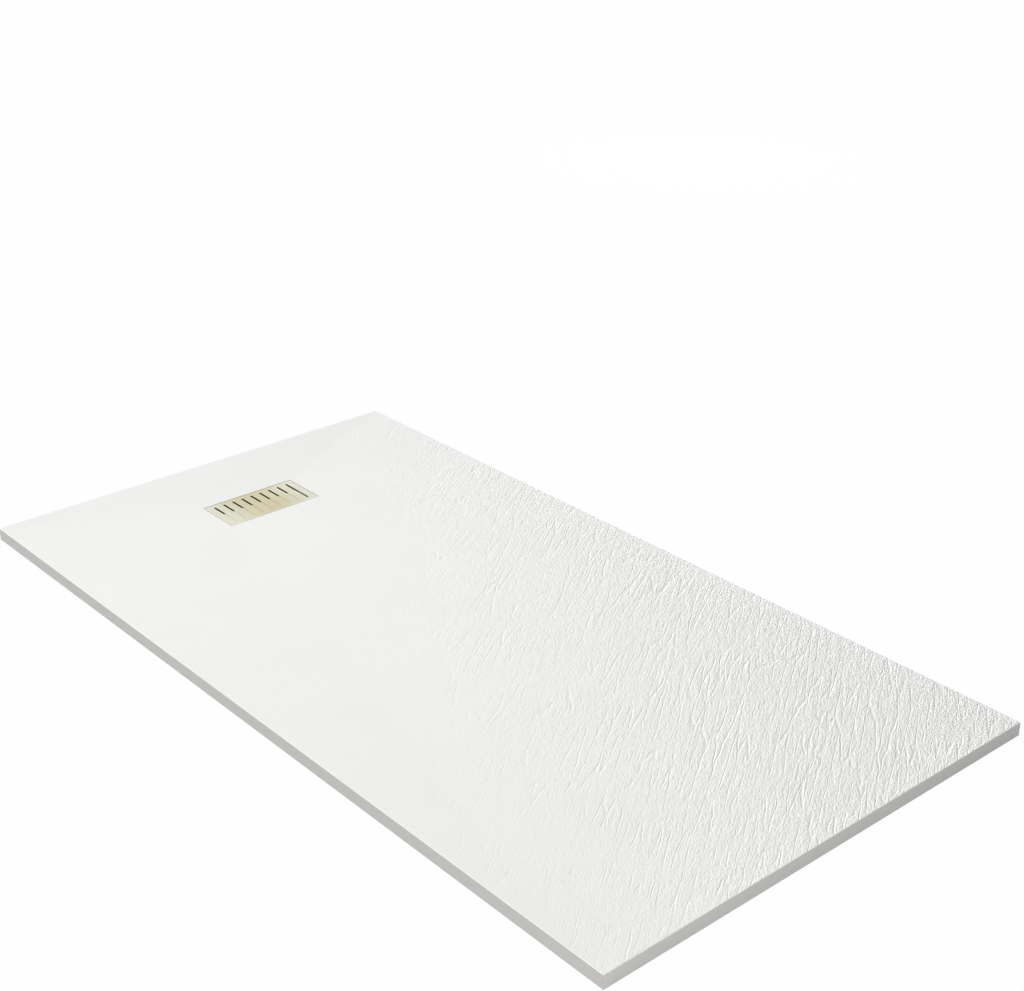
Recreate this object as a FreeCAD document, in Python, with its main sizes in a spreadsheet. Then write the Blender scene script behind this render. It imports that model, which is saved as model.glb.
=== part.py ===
import FreeCAD, Part
import os
import re
import Sketcher

# Slate-textured shower tray of cast mineral resin under a gel coat, with a flush slotted grate.
# Under the grate sit a clamp ring, a hair strainer and a lift-out water trap.
# X runs along the tray, Y across it and Z up. The origin is the middle of the underside.

document = FreeCAD.newDocument("shower_tray")
sheet = document.addObject("Spreadsheet::Sheet", "Sizes")

sizes = {
    # slab: a rimless rectangle whose top falls to the grate in four planes
    "tray_length": 1700,
    "tray_width": 900,
    "tray_height": 25,
    "tray_fall": 4,
    "tray_edge": 1.2,
    "rim_land": 2,
    # gel coat over the top, the sides and the recess, and the bare resin left below it
    "skin_thickness": 1.2,
    "skin_lift": 1.2,
    # recess under the grate, and the waste's hole with its machined seats above and below
    "drain_inset": 227,
    "recess_width": 105,
    "recess_length": 205,
    "recess_depth": 8,
    "recess_corner": 1.5,
    "waste_hole": 90,
    "counterbore": 103,
    "counterbore_depth": 4,
    "spot_face": 130,
    "spot_face_depth": 1,
    # grate
    "grate_gap": 1,
    "grate_thickness": 2,
    "grate_bevel": 0.5,
    "slot_width": 4.4,
    "slot_pitch": 21,
    "slot_margin": 11.5,
    "short_slot_length": 38,
    "short_slot_count": 8,
    "groove_width": 2.4,
    "groove_depth": 0.35,
    "foot_diameter": 10,
    "foot_inset": 9,
    "stud_diameter": 4,
    "stud_length": 4.5,
    # clearances between pieces that slide past one another
    "slip_gap": 0.3,
    "running_gap": 0.1,
    # clamp ring, its gaskets and its screws
    "upper_gasket": 1.5,
    "lower_gasket": 3,
    "lower_gasket_diameter": 120,
    "ring_margin": 1,
    "throat": 64,
    "sleeve_wall": 2.5,
    "sleeve_length": 9,
    "screw_circle": 80,
    "screw_count": 4,
    "screw_diameter": 3.8,
    "screw_head": 7.2,
    "screw_length": 18,
    "screw_hole_gap": 0.2,
    "insert_diameter": 5.8,
    "insert_length": 12,
    # trap body: neck through the tray, flange under it, chamber and side outlet
    "neck_gap": 1,
    "neck_wall": 2,
    "neck_drop": 0.5,
    "pillar_diameter": 7.6,
    "pillar_length": 23,
    "trap_flange": 124,
    "trap_flange_thickness": 4,
    "chamber": 91,
    "chamber_depth": 59,
    "trap_wall": 2.5,
    "trap_floor": 3,
    # outlet socket, its seal, washer and nut
    "outlet_height": 29,
    "outlet_bore": 35,
    "socket_bore": 40.4,
    "socket_depth": 26,
    "stub_diameter": 47.6,
    "stub_reach": 34,
    "mouth_bevel": 2.4,
    "seal_nose": 1.4,
    "seal_thickness": 3,
    "washer_thickness": 1,
    "nut_diameter": 55,
    "nut_length": 24,
    "nut_end": 3,
    "nut_opening": 41.6,
    "nut_rib_height": 1.5,
    "nut_rib_width": 3,
    "nut_rib_count": 12,
    # lift-out insert: dip tube with its seal ring, and the water cup that hangs from it
    "collar_flange": 70,
    "collar_flange_thickness": 2,
    "collar_wall": 3.4,
    "collar_length": 14,
    "funnel_length": 9,
    "dip_bore": 34,
    "dip_wall": 1.6,
    "dip_length": 67,
    "ring_seal_section": 2.6,
    "ring_seal_drop": 7,
    "cup_diameter": 61,
    "cup_wall": 1.6,
    "cup_floor": 2,
    "cup_clearance": 5,
    "cup_rim_drop": 12,
    "cup_window_angle": 94,
    "cup_window_count": 3,
    # hair strainer and its knob
    "strainer_rim": 65.4,
    "strainer_rim_thickness": 1,
    "strainer_wall": 1,
    "strainer_basket": 50,
    "strainer_depth": 12,
    "strainer_hole": 3,
    "strainer_hole_pitch": 7,
    "strainer_slot_width": 2.2,
    "strainer_slot_height": 6,
    "strainer_slot_count": 16,
    "knob_diameter": 14,
    "knob_thickness": 2.5,
    "knob_stem": 6,
    "knob_collar": 9,
    "knob_collar_height": 1.2,
    "knob_rise": 4,
}

for row, (name, value) in enumerate(sizes.items(), start=1):
    sheet.set(f"A{row}", name)
    sheet.set(f"B{row}", str(value))
    sheet.setAlias(f"B{row}", name)
document.recompute()

pieces = []


def bound(text):
    """Expression in which every size name refers to its cell in the sheet."""
    return re.sub(r"[a-z_]+", lambda word: f"Sizes.{word[0]}" if word[0] in sizes else word[0], text)


def new_body(label, x="0", z="0"):
    """Empty body for one piece, with its own origin on the piece's axis."""
    body = document.addObject("PartDesign::Body", label)
    body.Label = label
    body.AllowCompound = True
    body.setExpression("Placement.Base.x", bound(x))
    body.setExpression("Placement.Base.z", bound(z))
    return body


def new_piece(label, x="0", z="0"):
    """Body that is written out as a node of the object."""
    body = new_body(label, x, z)
    pieces.append(body)
    return body


def new_sketch(body, name, role, across="0", up="0", level="0"):
    """Sketch on one of the body's origin planes, shifted in the plane and along its normal."""
    sketch = body.newObject("Sketcher::SketchObject", name)
    sketch.AttachmentSupport = [(origin_part(body, role), "")]
    sketch.MapMode = "FlatFace"
    sketch.setExpression("AttachmentOffset.Base.x", bound(across))
    sketch.setExpression("AttachmentOffset.Base.y", bound(up))
    sketch.setExpression("AttachmentOffset.Base.z", bound(level))
    return sketch


def origin_part(body, role):
    """Plane or axis of the body's origin."""
    return next(part for part in body.Origin.OriginFeatures if part.Role == role)


def tie(sketch, kind, edge, point, text):
    """Dimension a point of the sketch, or a radius where no point is given, with an expression."""
    value = float(sketch.evalExpression(bound(text)))
    place = (edge, point, value) if point else (edge, value)
    index = sketch.addConstraint(Sketcher.Constraint(kind, *place))
    sketch.setExpression(f"Constraints[{index}]", bound(text))


def draw_outline(sketch, corners):
    """Closed outline through corners given as pairs of expressions."""
    points = [
        FreeCAD.Vector(*(float(sketch.evalExpression(bound(text))) for text in corner), 0)
        for corner in corners
    ]
    edges = [
        sketch.addGeometry(Part.LineSegment(point, points[(index + 1) % len(points)]), False)
        for index, point in enumerate(points)
    ]
    for index, edge in enumerate(edges):
        sketch.addConstraint(Sketcher.Constraint("Coincident", edge, 2, edges[(index + 1) % len(edges)], 1))
    for edge, (x, y) in zip(edges, corners):
        tie(sketch, "DistanceX", edge, 1, x)
        tie(sketch, "DistanceY", edge, 1, y)


def draw_rectangle(sketch, width, length, x="0", y="0"):
    """Rectangle of the given width and length about a centre."""
    left, right = (f"({x}) {side} ({width}) / 2" for side in "-+")
    low, high = (f"({y}) {side} ({length}) / 2" for side in "-+")
    draw_outline(sketch, [(left, low), (right, low), (right, high), (left, high)])


def draw_circle(sketch, diameter, x="0", y="0"):
    """Circle of the given diameter about a centre."""
    radius = float(sketch.evalExpression(bound(f"({diameter}) / 2")))
    centre = FreeCAD.Vector(*(float(sketch.evalExpression(bound(text))) for text in (x, y)), 0)
    edge = sketch.addGeometry(Part.Circle(centre, FreeCAD.Vector(0, 0, 1), radius), False)
    tie(sketch, "DistanceX", edge, 3, x)
    tie(sketch, "DistanceY", edge, 3, y)
    tie(sketch, "Radius", edge, None, f"({diameter}) / 2")


def draw_slot(sketch, start, end, y, width):
    """Slot with round ends that runs along the sketch's X from start to end."""
    radius = f"({width}) / 2"
    ends = (f"({start}) + {radius}", f"({end}) - {radius}")
    r, x_low, x_high, level = (
        float(sketch.evalExpression(bound(text))) for text in (radius, *ends, y)
    )
    normal = FreeCAD.Vector(0, 0, 1)
    caps = []
    for x, turn in ((x_low, 90), (x_high, -90)):
        circle = Part.Circle(FreeCAD.Vector(x, level, 0), normal, r)
        first = FreeCAD.Units.Quantity(f"{turn} deg").getValueAs("rad").Value
        half_turn = FreeCAD.Units.Quantity("180 deg").getValueAs("rad").Value
        caps.append(sketch.addGeometry(Part.ArcOfCircle(circle, first, first + half_turn), False))
    sides = []
    for offset, first, last in ((-r, x_low, x_high), (r, x_high, x_low)):
        line = Part.LineSegment(FreeCAD.Vector(first, level + offset, 0), FreeCAD.Vector(last, level + offset, 0))
        sides.append(sketch.addGeometry(line, False))
    joints = ((caps[0], 2, sides[0], 1), (sides[0], 2, caps[1], 1), (caps[1], 2, sides[1], 1), (sides[1], 2, caps[0], 1))
    for joint in joints:
        sketch.addConstraint(Sketcher.Constraint("Tangent", *joint))
    for side in sides:
        sketch.addConstraint(Sketcher.Constraint("Horizontal", side))
    tie(sketch, "DistanceX", caps[0], 3, ends[0])
    tie(sketch, "DistanceY", caps[0], 3, y)
    tie(sketch, "DistanceX", caps[1], 3, ends[1])
    tie(sketch, "Radius", caps[0], None, radius)


def add_feature(body, kind, name, removes=False):
    """Make a solid feature after what the body holds, and remember the volume if it cuts."""
    document.recompute()
    feature = body.newObject(f"PartDesign::{kind}", name)
    if removes:
        cuts.append((body, feature, body.Shape.Volume))
    return feature


cuts = []


def pad(body, sketch, height):
    """Extrude the sketch along its normal."""
    feature = add_feature(body, "Pad", f"{sketch.Name}_pad")
    feature.Profile = sketch
    feature.setExpression("Length", bound(height))
    return feature


def pocket(body, sketch, depth, forward=False):
    """Cut the sketch into the solid against its normal, or along it where forward is set."""
    feature = add_feature(body, "Pocket", f"{sketch.Name}_cut", removes=True)
    feature.Profile = sketch
    feature.Reversed = forward
    feature.setExpression("Length", bound(depth))
    return feature


def revolve(body, sketch, axis="V_Axis", removes=False):
    """Turn the sketch about one of its own axes, as a solid or as a cut."""
    kind, ending = ("Groove", "cut") if removes else ("Revolution", "turned")
    feature = add_feature(body, kind, f"{sketch.Name}_{ending}", removes)
    feature.Profile = sketch
    feature.ReferenceAxis = (sketch, [axis])
    feature.Angle = 360
    return feature


def repeat_round(body, features, count, role="Z_Axis"):
    """Repeat features in equal turns about an axis of the body."""
    document.recompute()
    pattern = body.newObject("PartDesign::PolarPattern", f"{features[0].Name}_round")
    pattern.Originals = features
    pattern.Axis = (origin_part(body, role), [""])
    pattern.Angle = 360
    pattern.setExpression("Occurrences", bound(count))
    body.Tip = pattern
    return pattern


def repeat_along(body, features, count, pitch, role):
    """Repeat features in equal steps along an axis of the body."""
    document.recompute()
    pattern = body.newObject("PartDesign::LinearPattern", f"{features[0].Name}_row")
    pattern.Originals = features
    pattern.Direction = (origin_part(body, role), [""])
    pattern.Mode = "Spacing"
    pattern.setExpression("Offset", bound(pitch))
    pattern.setExpression("Occurrences", bound(count))
    body.Tip = pattern
    return pattern


def round_edges(body, kind, name, radius, wanted):
    """Fillet or chamfer the edges of the solid that pass the test."""
    document.recompute()
    tip = body.Tip
    names = [f"Edge{index}" for index, edge in enumerate(tip.Shape.Edges, start=1) if wanted(edge)]
    feature = body.newObject(f"PartDesign::{kind}", name)
    feature.Base = (tip, names)
    feature.setExpression("Radius" if kind == "Fillet" else "Size", bound(radius))
    return feature


def is_upright(edge):
    """True for an edge that stands along Z."""
    box = edge.BoundBox
    return box.XLength < 1e-6 and box.YLength < 1e-6


def is_above_foot(edge):
    """True for an edge of the plain slab that isn't round its foot."""
    return edge.BoundBox.ZMax > sheet.tray_height / 2


def is_recess_corner(edge):
    """True for an upright edge in a corner of the grate's recess, far inside the tray's sides."""
    return is_upright(edge) and abs(edge.CenterOfMass.y) < sheet.recess_length


# Levels and places that several pieces share.
drain_x = "(drain_inset - tray_length / 2)"
rim_level = "(tray_height - tray_fall)"
recess_floor = f"({rim_level} - recess_depth)"
seat_level = f"({recess_floor} - counterbore_depth)"
ring_bottom = f"({seat_level} + upper_gasket)"
ring_diameter = "(counterbore - 2 * ring_margin)"
flange_top = "(spot_face_depth - lower_gasket)"
flange_bottom = f"({flange_top} - trap_flange_thickness)"
chamber_bottom = f"({flange_bottom} - chamber_depth)"
outlet_level = f"({chamber_bottom} + outlet_height)"
stub_end = "(-(chamber / 2 + trap_wall + stub_reach))"


# Slab. The same form serves twice: at full size for the gel coat, and lowered and drawn in by
# the skin's thickness for the resin under it. A wedge takes out the four falling planes.
def slab_form(body, inset, bottom, drain_hole, edge=None):
    outline = new_sketch(body, f"{body.Name}_outline", "XY_Plane", level=bottom)
    draw_rectangle(outline, f"tray_length - 2 * {inset}", f"tray_width - 2 * {inset}")
    pad(body, outline, f"tray_height - {inset} - {bottom}")
    if edge:
        round_edges(body, "Fillet", f"{body.Name}_edges", edge, is_above_foot)

    dish = add_feature(body, "SubtractiveWedge", f"{body.Name}_dish", removes=True)
    dish.AttachmentSupport = [(origin_part(body, "XZ_Plane"), "")]
    dish.MapMode = "FlatFace"
    planes = {
        "Ymin": f"{rim_level} - {inset}",
        "Ymax": f"tray_height - {inset}",
        "Xmin": f"{drain_x} - recess_width / 2",
        "Xmax": f"{drain_x} + recess_width / 2",
        "Zmin": "-recess_length / 2",
        "Zmax": "recess_length / 2",
        "X2min": "rim_land - tray_length / 2",
        "X2max": "tray_length / 2 - rim_land",
        "Z2min": "rim_land - tray_width / 2",
        "Z2max": "tray_width / 2 - rim_land",
    }
    for name, text in planes.items():
        dish.setExpression(name, bound(text))

    recess = new_sketch(body, f"{body.Name}_recess", "XY_Plane", level=f"{rim_level}")
    draw_rectangle(recess, f"recess_width + 2 * {inset}", f"recess_length + 2 * {inset}", x=drain_x)
    pocket(body, recess, f"recess_depth + {inset}")
    round_edges(body, "Fillet", f"{body.Name}_corners", f"recess_corner + {inset}", is_recess_corner)

    hole = new_sketch(body, f"{body.Name}_hole", "XY_Plane", level=recess_floor)
    draw_circle(hole, drain_hole, x=drain_x)
    pocket(body, hole, recess_floor)


tray_core = new_piece("tray_core")
slab_form(tray_core, "skin_thickness", "0", "waste_hole")
seat = new_sketch(tray_core, "waste_seat", "XY_Plane", level=recess_floor)
draw_circle(seat, "counterbore", x=drain_x)
pocket(tray_core, seat, "counterbore_depth")
spot_face = new_sketch(tray_core, "gasket_spot_face", "XY_Plane")
draw_circle(spot_face, "spot_face", x=drain_x)
pocket(tray_core, spot_face, "spot_face_depth", forward=True)

gel_form = new_body("gel_form")
slab_form(gel_form, "0", "skin_lift", "counterbore", edge="tray_edge")
document.recompute()

gel_coat = document.addObject("Part::Cut", "gel_coat")
gel_coat.Base = gel_form
gel_coat.Tool = tray_core
pieces.append(gel_coat)


# Grate: a plate with bevelled edges. One slot is cut over its whole length, the others over
# their first part, and a shallow groove carries each of those on to the same length.
plate_width = "(recess_width - 2 * grate_gap)"
plate_length = "(recess_length - 2 * grate_gap)"
plate_bottom = f"({rim_level} - grate_thickness)"
slot_start = f"(-{plate_width} / 2 + slot_margin)"
slot_end = f"({plate_width} / 2 - slot_margin)"
first_slot = "(-short_slot_count * slot_pitch / 2)"

grate_plate = new_piece("grate_plate", x=drain_x)
plate = new_sketch(grate_plate, "plate", "XY_Plane", level=plate_bottom)
draw_rectangle(plate, plate_width, plate_length)
pad(grate_plate, plate, "grate_thickness")
round_edges(grate_plate, "Fillet", "plate_corners", "recess_corner / 2", is_upright)
round_edges(
    grate_plate, "Chamfer", "plate_bevel", "grate_bevel",
    lambda edge: edge.BoundBox.ZMin > sheet.tray_height - sheet.tray_fall - 1e-6,
)

long_slot = new_sketch(grate_plate, "long_slot", "XY_Plane", level=rim_level)
draw_slot(long_slot, slot_start, slot_end, f"-{first_slot}", "slot_width")
pocket(grate_plate, long_slot, "grate_thickness")

short_slot = new_sketch(grate_plate, "short_slot", "XY_Plane", level=rim_level)
draw_slot(short_slot, slot_start, f"{slot_start} + short_slot_length", first_slot, "slot_width")
short_cut = pocket(grate_plate, short_slot, "grate_thickness")
repeat_along(grate_plate, [short_cut], "short_slot_count", "slot_pitch", "Y_Axis")

groove = new_sketch(grate_plate, "groove", "XY_Plane", level=rim_level)
groove_start = f"{slot_start} + short_slot_length - groove_width / 2"
draw_slot(groove, groove_start, slot_end, first_slot, "groove_width")
groove_cut = pocket(grate_plate, groove, "groove_depth")
repeat_along(grate_plate, [groove_cut], "short_slot_count", "slot_pitch", "Y_Axis")


# Rubber feet on studs that are welded under the plate's corners. They stand on the recess floor.
def draw_at_corners(sketch, diameter):
    for x_side in "-+":
        for y_side in "-+":
            x = f"0 {x_side} ({plate_width} / 2 - foot_inset)"
            y = f"0 {y_side} ({plate_length} / 2 - foot_inset)"
            draw_circle(sketch, diameter, x, y)


grate_studs = new_piece("grate_studs", x=drain_x)
stud = new_sketch(grate_studs, "stud", "XY_Plane", level=f"{plate_bottom} - stud_length")
draw_at_corners(stud, "stud_diameter")
pad(grate_studs, stud, "stud_length")

grate_feet = new_piece("grate_feet", x=drain_x)
foot = new_sketch(grate_feet, "foot", "XY_Plane", level=recess_floor)
draw_at_corners(foot, "foot_diameter")
pad(grate_feet, foot, f"{plate_bottom} - {recess_floor}")
foot_bore = new_sketch(grate_feet, "foot_bore", "XY_Plane", level=plate_bottom)
draw_at_corners(foot_bore, "stud_diameter")
pocket(grate_feet, foot_bore, "stud_length")


# Flat gaskets: one on the machined seat in the recess, one between the tray and the trap.
def flat_ring(label, outer, inner, bottom, thickness):
    ring = new_piece(label, x=drain_x)
    face = new_sketch(ring, f"{label}_face", "XY_Plane", level=bottom)
    draw_circle(face, outer)
    draw_circle(face, inner)
    pad(ring, face, thickness)


flat_ring("upper_gasket", ring_diameter, "waste_hole", seat_level, "upper_gasket")
flat_ring("lower_gasket", "lower_gasket_diameter", "waste_hole", flange_top, "lower_gasket")


# Clamp ring: a moulded flange flush with the recess floor, with a sleeve down into the trap and
# a step in which the lift-out insert hangs. Countersunk screws pull the trap up against the tray.
def draw_screw(sketch, bottom, gap):
    shank = f"(screw_diameter / 2 + {gap})"
    corners = [
        ("0", bottom),
        (shank, bottom),
        (shank, f"{recess_floor} - screw_head / 2 + {shank}"),
        ("screw_head / 2", recess_floor),
        ("0", recess_floor),
    ]
    draw_outline(sketch, corners)


clamp_ring = new_piece("clamp_ring", x=drain_x)
ring_side = new_sketch(clamp_ring, "ring_side", "XZ_Plane")
step_level = f"({recess_floor} - collar_flange_thickness)"
step_radius = "(collar_flange / 2 + slip_gap)"
sleeve_radius = "(throat / 2 + sleeve_wall)"
draw_outline(ring_side, [
    ("throat / 2", f"{ring_bottom} - sleeve_length"),
    (sleeve_radius, f"{ring_bottom} - sleeve_length"),
    (sleeve_radius, ring_bottom),
    (f"{ring_diameter} / 2", ring_bottom),
    (f"{ring_diameter} / 2", recess_floor),
    (step_radius, recess_floor),
    (step_radius, step_level),
    ("throat / 2", step_level),
])
revolve(clamp_ring, ring_side)
screw_hole = new_sketch(clamp_ring, "screw_hole", "XZ_Plane", across="screw_circle / 2")
draw_screw(screw_hole, f"{ring_bottom} - screw_hole_gap", "screw_hole_gap")
screw_hole_cut = revolve(clamp_ring, screw_hole, removes=True)
repeat_round(clamp_ring, [screw_hole_cut], "screw_count")

clamp_screws = new_piece("clamp_screws", x=drain_x)
screw_side = new_sketch(clamp_screws, "screw_side", "XZ_Plane", across="screw_circle / 2")
draw_screw(screw_side, f"{recess_floor} - screw_length", "0")
screw = revolve(clamp_screws, screw_side)
repeat_round(clamp_screws, [screw], "screw_count")


# Trap body: a moulded chamber with a neck that rises into the tray's hole, a flange that closes
# on the lower gasket, pillars for the screws and a socket for the waste pipe.
chamber_wall = "(chamber / 2 + trap_wall)"
neck_radius = "(waste_hole / 2 - neck_gap)"
neck_top = f"({ring_bottom} - neck_drop)"
trap_bottom = f"({chamber_bottom} - trap_floor)"
outlet_start = "(-chamber / 4)"

trap_body = new_piece("trap_body", x=drain_x)
trap_side = new_sketch(trap_body, "trap_side", "XZ_Plane")
draw_outline(trap_side, [
    ("0", trap_bottom),
    (chamber_wall, trap_bottom),
    (chamber_wall, flange_bottom),
    ("trap_flange / 2", flange_bottom),
    ("trap_flange / 2", flange_top),
    (neck_radius, flange_top),
    (neck_radius, neck_top),
    ("0", neck_top),
])
revolve(trap_body, trap_side)

stub_side = new_sketch(trap_body, "stub_side", "XZ_Plane", up=outlet_level)
draw_outline(stub_side, [
    (stub_end, "0"),
    (outlet_start, "0"),
    (outlet_start, "stub_diameter / 2"),
    (stub_end, "stub_diameter / 2"),
])
revolve(trap_body, stub_side, "H_Axis")

chamber_side = new_sketch(trap_body, "chamber_side", "XZ_Plane")
draw_outline(chamber_side, [
    ("0", chamber_bottom),
    ("chamber / 2", chamber_bottom),
    ("chamber / 2", flange_bottom),
    (f"{neck_radius} - neck_wall", flange_bottom),
    (f"{neck_radius} - neck_wall", neck_top),
    ("0", neck_top),
])
revolve(trap_body, chamber_side, removes=True)

socket_side = new_sketch(trap_body, "socket_side", "XZ_Plane", up=outlet_level)
draw_outline(socket_side, [
    (stub_end, "0"),
    (outlet_start, "0"),
    (outlet_start, "outlet_bore / 2"),
    (f"{stub_end} + socket_depth", "outlet_bore / 2"),
    (f"{stub_end} + socket_depth", "socket_bore / 2"),
    (f"{stub_end} + mouth_bevel", "socket_bore / 2"),
    (stub_end, "socket_bore / 2 + mouth_bevel"),
])
revolve(trap_body, socket_side, "H_Axis", removes=True)

pillar = new_sketch(trap_body, "pillar", "XY_Plane", level=f"{neck_top} - pillar_length")
draw_circle(pillar, "pillar_diameter", x="screw_circle / 2")
repeat_round(trap_body, [pad(trap_body, pillar, "pillar_length")], "screw_count")
for name, diameter, depth in (
    ("insert_bore", "insert_diameter", "insert_length"),
    ("screw_end", "screw_diameter + 2 * screw_hole_gap", "screw_length"),
):
    bore = new_sketch(trap_body, name, "XY_Plane", level=neck_top)
    draw_circle(bore, diameter, x="screw_circle / 2")
    repeat_round(trap_body, [pocket(trap_body, bore, depth)], "screw_count")

screw_inserts = new_piece("screw_inserts", x=drain_x)
insert_face = new_sketch(screw_inserts, "insert_face", "XY_Plane", level=f"{neck_top} - insert_length")
draw_circle(insert_face, "insert_diameter", x="screw_circle / 2")
draw_circle(insert_face, "screw_diameter", x="screw_circle / 2")
insert = pad(screw_inserts, insert_face, "insert_length")
repeat_round(screw_inserts, [insert], "screw_count")


# Outlet: a conical rubber seal in the socket's mouth, a washer, and the nut that presses them on.
seal_radius = "(stub_diameter / 2 - slip_gap)"
seal_end = f"({stub_end} - seal_thickness)"
washer_end = f"({seal_end} - washer_thickness)"
nut_end_level = f"({washer_end} - nut_end)"

outlet_seal = new_piece("outlet_seal", x=drain_x, z=outlet_level)
seal_side = new_sketch(outlet_seal, "seal_side", "XZ_Plane")
draw_outline(seal_side, [
    (f"{stub_end} + seal_nose", "socket_bore / 2 + running_gap"),
    (f"{stub_end} + seal_nose", "socket_bore / 2 + mouth_bevel - seal_nose"),
    (stub_end, "socket_bore / 2 + mouth_bevel"),
    (stub_end, seal_radius),
    (seal_end, seal_radius),
    (seal_end, "socket_bore / 2 + running_gap"),
])
revolve(outlet_seal, seal_side, "H_Axis")

outlet_washer = new_piece("outlet_washer", x=drain_x, z=outlet_level)
washer_side = new_sketch(outlet_washer, "washer_side", "XZ_Plane")
draw_outline(washer_side, [
    (seal_end, "socket_bore / 2 + slip_gap"),
    (seal_end, seal_radius),
    (washer_end, seal_radius),
    (washer_end, "socket_bore / 2 + slip_gap"),
])
revolve(outlet_washer, washer_side, "H_Axis")

outlet_nut = new_piece("outlet_nut", x=drain_x, z=outlet_level)
nut_side = new_sketch(outlet_nut, "nut_side", "XZ_Plane")
draw_outline(nut_side, [
    (nut_end_level, "nut_opening / 2"),
    (washer_end, "nut_opening / 2"),
    (washer_end, "stub_diameter / 2 + running_gap"),
    (f"{nut_end_level} + nut_length", "stub_diameter / 2 + running_gap"),
    (f"{nut_end_level} + nut_length", "nut_diameter / 2"),
    (nut_end_level, "nut_diameter / 2"),
])
revolve(outlet_nut, nut_side, "H_Axis")
rib = new_sketch(outlet_nut, "rib", "YZ_Plane", level=nut_end_level)
draw_rectangle(rib, "nut_rib_width", "2 * nut_rib_height", y="nut_diameter / 2")
repeat_round(outlet_nut, [pad(outlet_nut, rib, "nut_length")], "nut_rib_count", "X_Axis")


# Dip tube: it hangs in the clamp ring by its flange, holds the strainer and leads the water
# down into the cup. A round rubber ring in its collar seals it to the ring's sleeve.
collar_radius = "(throat / 2 - slip_gap)"
collar_bore = f"({collar_radius} - collar_wall)"
collar_bottom = f"({recess_floor} - collar_length)"
funnel_bottom = f"({collar_bottom} - funnel_length)"
dip_bottom = f"({recess_floor} - dip_length)"
ring_seal_level = f"({recess_floor} - ring_seal_drop)"
ring_seal_radius = "(throat / 2 - running_gap - ring_seal_section / 2)"
cup_bore = "(cup_diameter / 2 - cup_wall)"
strainer_seat = f"({recess_floor} - strainer_rim_thickness)"

dip_tube = new_piece("dip_tube", x=drain_x)
dip_side = new_sketch(dip_tube, "dip_side", "XZ_Plane")
groove_floor = f"{ring_seal_radius} - ring_seal_section / 2"
groove_top = f"{ring_seal_level} + ring_seal_section / 2 + running_gap"
groove_bottom = f"{ring_seal_level} - ring_seal_section / 2 - running_gap"
draw_outline(dip_side, [
    ("collar_flange / 2", recess_floor),
    ("collar_flange / 2", step_level),
    (collar_radius, step_level),
    (collar_radius, groove_top),
    (groove_floor, groove_top),
    (groove_floor, groove_bottom),
    (collar_radius, groove_bottom),
    (collar_radius, collar_bottom),
    (cup_bore, collar_bottom),
    ("dip_bore / 2 + dip_wall", funnel_bottom),
    ("dip_bore / 2 + dip_wall", dip_bottom),
    ("dip_bore / 2", dip_bottom),
    ("dip_bore / 2", f"{funnel_bottom} + dip_wall"),
    (collar_bore, f"{collar_bottom} + dip_wall"),
    (collar_bore, strainer_seat),
    ("strainer_rim / 2 + slip_gap", strainer_seat),
    ("strainer_rim / 2 + slip_gap", recess_floor),
])
revolve(dip_tube, dip_side)

ring_seal = new_piece("ring_seal", x=drain_x)
ring_seal_face = new_sketch(ring_seal, "ring_seal_face", "XZ_Plane")
draw_circle(ring_seal_face, "ring_seal_section", x=ring_seal_radius, y=ring_seal_level)
revolve(ring_seal, ring_seal_face)


# Water cup: it holds the water that stops the smell. Its arms clip to the tube's collar, and the
# water spills to the chamber through the windows between them.
cup_bottom = f"({dip_bottom} - cup_clearance - cup_floor)"
water_cup = new_piece("water_cup", x=drain_x)
cup_side = new_sketch(water_cup, "cup_side", "XZ_Plane")
draw_outline(cup_side, [
    ("0", cup_bottom),
    ("cup_diameter / 2", cup_bottom),
    ("cup_diameter / 2", collar_bottom),
    (cup_bore, collar_bottom),
    (cup_bore, f"{cup_bottom} + cup_floor"),
    ("0", f"{cup_bottom} + cup_floor"),
])
revolve(water_cup, cup_side)
window = new_sketch(water_cup, "window", "XY_Plane", level=collar_bottom)
window_reach = "cup_diameter"
draw_outline(window, [
    ("0", "0"),
    (window_reach, f"-{window_reach} * tan(cup_window_angle / 2)"),
    (window_reach, f"{window_reach} * tan(cup_window_angle / 2)"),
])
window_cut = pocket(water_cup, window, "cup_rim_drop")
repeat_round(water_cup, [window_cut], "cup_window_count")


# Hair strainer: a shallow basket whose rim lies in the mouth of the dip tube.
strainer_radius = "(strainer_basket / 2)"
strainer_bottom = f"({recess_floor} - strainer_depth)"
hair_strainer = new_piece("hair_strainer", x=drain_x)
strainer_side = new_sketch(hair_strainer, "strainer_side", "XZ_Plane")
draw_outline(strainer_side, [
    ("knob_stem / 2", strainer_bottom),
    (strainer_radius, strainer_bottom),
    (strainer_radius, strainer_seat),
    ("strainer_rim / 2", strainer_seat),
    ("strainer_rim / 2", recess_floor),
    (f"{strainer_radius} - strainer_wall", recess_floor),
    (f"{strainer_radius} - strainer_wall", f"{strainer_bottom} + strainer_wall"),
    ("knob_stem / 2", f"{strainer_bottom} + strainer_wall"),
])
revolve(hair_strainer, strainer_side)
for ring_number in (1, 2, 3):
    hole = new_sketch(hair_strainer, f"strainer_hole_{ring_number}", "XY_Plane", level=recess_floor)
    draw_circle(hole, "strainer_hole", x=f"{ring_number} * strainer_hole_pitch")
    hole_cut = pocket(hair_strainer, hole, "strainer_depth")
    repeat_round(hair_strainer, [hole_cut], str(6 * ring_number))
side_slot = new_sketch(hair_strainer, "side_slot", "YZ_Plane", level=f"{strainer_radius} / 2")
side_slot_level = f"{strainer_bottom} + strainer_depth / 2"
draw_rectangle(side_slot, "strainer_slot_width", "strainer_slot_height", y=side_slot_level)
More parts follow.
